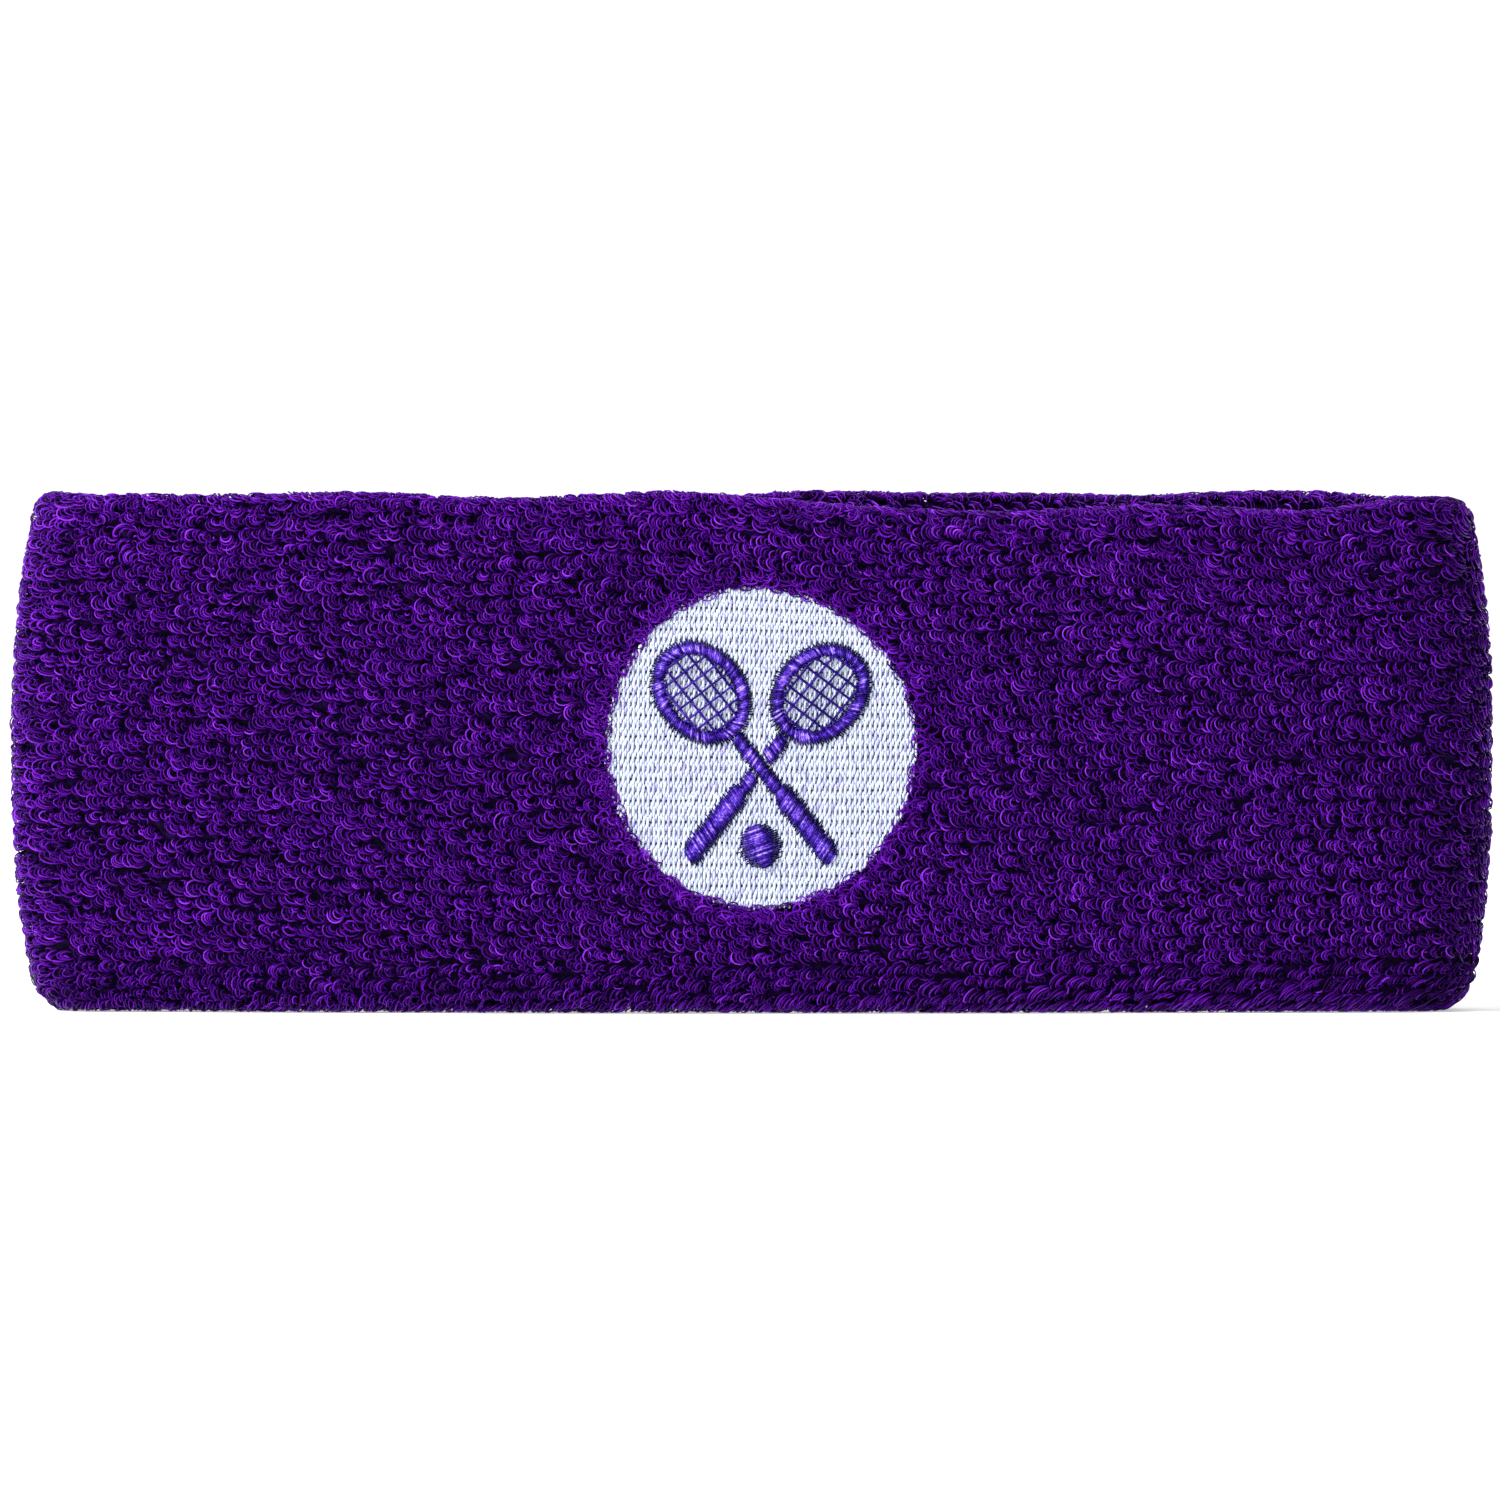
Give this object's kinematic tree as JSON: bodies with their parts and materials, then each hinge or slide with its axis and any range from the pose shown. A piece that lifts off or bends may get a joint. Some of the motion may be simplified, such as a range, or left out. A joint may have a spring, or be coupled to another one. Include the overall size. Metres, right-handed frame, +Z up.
{
  "type": "terry sports headband",
  "caption": "Flattened loop of two-ply purple terry knit with an elastic core and a round white embroidered badge showing crossed rackets and a ball.",
  "frame": {"origin": "middle of the footprint, on the surface that the lower edge stands on", "axes": "+Z up along the band's height, +X along the flattened loop, -Y out of the wall with the badge"},
  "size_m": [0.178, 0.025, 0.0635],
  "materials": {
    "terry_yarn": "purple looped terry pile",
    "ground_yarn": "dark purple plain knit",
    "elastic_yarn": "covered elastic yarn",
    "seam_thread": "purple linking thread",
    "backing_felt": "cut-away stabiliser felt",
    "bobbin_yarn": "matt white bobbin thread",
    "white_thread": "glossy white embroidery thread",
    "emblem_thread": "glossy violet satin stitch"
  },
  "bodies": {
    "root": {"outer_pile": "terry_yarn", "inner_pile": "terry_yarn", "outer_ground_knit": "ground_yarn", "inner_ground_knit": "ground_yarn", "outer_elastic_yarns": "elastic_yarn", "inner_elastic_yarns": "elastic_yarn", "closing_seam": "seam_thread", "embroidery_backing": "backing_felt", "bobbin_thread": "bobbin_yarn", "badge_underlay": "white_thread", "badge_fill": "white_thread", "ball": "emblem_thread", "left_racket_hoop": "emblem_thread", "left_racket_strings": "emblem_thread", "left_racket_shaft": "emblem_thread", "left_racket_grip": "emblem_thread", "right_racket_hoop": "emblem_thread", "right_racket_strings": "emblem_thread", "right_racket_shaft": "emblem_thread", "right_racket_grip": "emblem_thread"}
  },
  "joints": []
}
